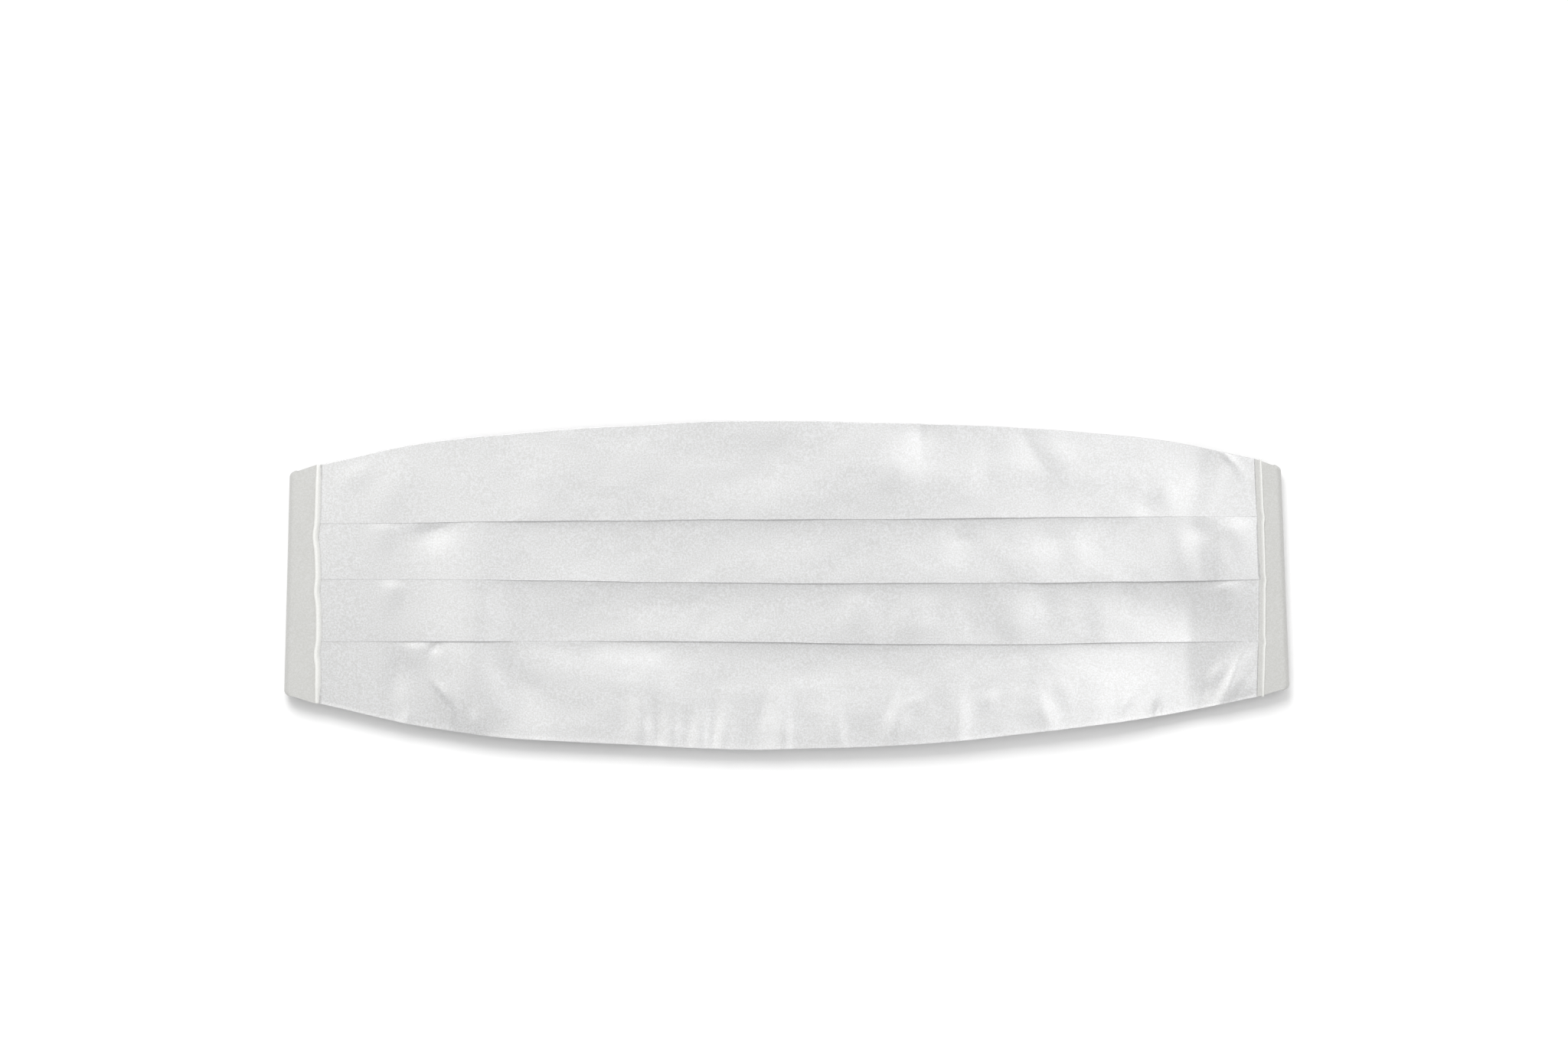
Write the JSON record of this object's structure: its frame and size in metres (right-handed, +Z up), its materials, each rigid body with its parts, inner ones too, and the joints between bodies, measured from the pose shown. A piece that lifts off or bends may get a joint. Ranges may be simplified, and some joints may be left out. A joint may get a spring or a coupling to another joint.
{
  "type": "pleated satin cummerbund",
  "caption": "Ivory satin waist sash with knife pleats, piped side seams, tapering side panels and an adjustable back strap, lying face up as a closed, flattened loop.",
  "frame": {"origin": "on the table, under the middle of the flattened loop's bounding box", "axes": "+X along the waist towards the picture's right, +Y towards the long edge at the top of the picture, +Z up from the table, out of the pleated face"},
  "size_m": [0.3816, 0.1249, 0.0121],
  "materials": {
    "satin": "lustrous satin weave with a fine diagonal twill, ivory white",
    "panel_satin": "the same satin, less lustrous and a little greyer",
    "piping_satin": "satin-covered cord, ivory white",
    "webbing": "matt ribbed webbing, ivory white",
    "nickel": "bright nickel plate"
  },
  "bodies": {
    "root": {"pleated_front": "satin", "left_piping": "piping_satin", "right_piping": "piping_satin", "left_side_panel": "panel_satin", "right_side_panel": "panel_satin", "left_strap": "webbing", "right_strap": "webbing", "clasp": "nickel"}
  },
  "joints": []
}
